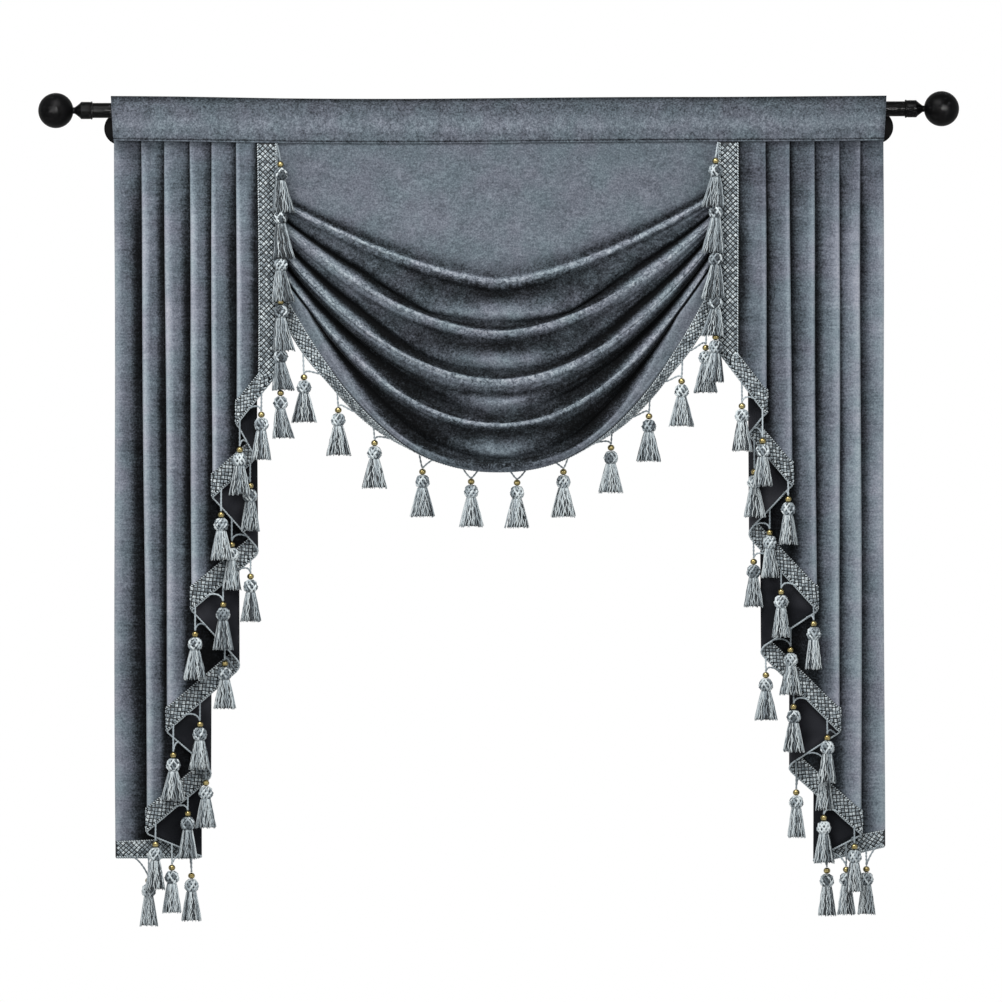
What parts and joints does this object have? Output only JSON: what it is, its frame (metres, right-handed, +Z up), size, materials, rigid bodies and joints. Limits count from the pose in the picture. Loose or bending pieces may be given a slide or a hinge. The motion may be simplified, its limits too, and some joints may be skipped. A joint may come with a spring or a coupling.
{
  "type": "swag and tail drape on a curtain rod",
  "caption": "Window drape with a draped swag between cascading tails, edged with braid and tassels, hanging by its pocket heading from a rod with ball finials.",
  "frame": {"origin": "on the wall's plane, level with the rod's axis and midway between the two wall plates", "axes": "+X along the rod to the right as seen from the room, +Y into the wall, +Z up"},
  "size_m": [1.7784, 0.1457, 1.6163],
  "materials": {
    "satin_black_metal": "satin",
    "slate_band": "short pile velvet",
    "slate_velvet": "brushed velvet",
    "silver_braid": "shiny rayon yarn"
  },
  "bodies": {
    "root": {"rod": "satin_black_metal", "finial_left": "satin_black_metal", "finial_right": "satin_black_metal", "bracket_left": "satin_black_metal", "bracket_right": "satin_black_metal", "heading": "slate_band", "swag": "slate_velvet", "tail_left": "slate_velvet", "tail_right": "slate_velvet", "fringe_swag": "silver_braid", "fringe_tail_left": "silver_braid", "fringe_tail_right": "silver_braid"}
  },
  "joints": []
}
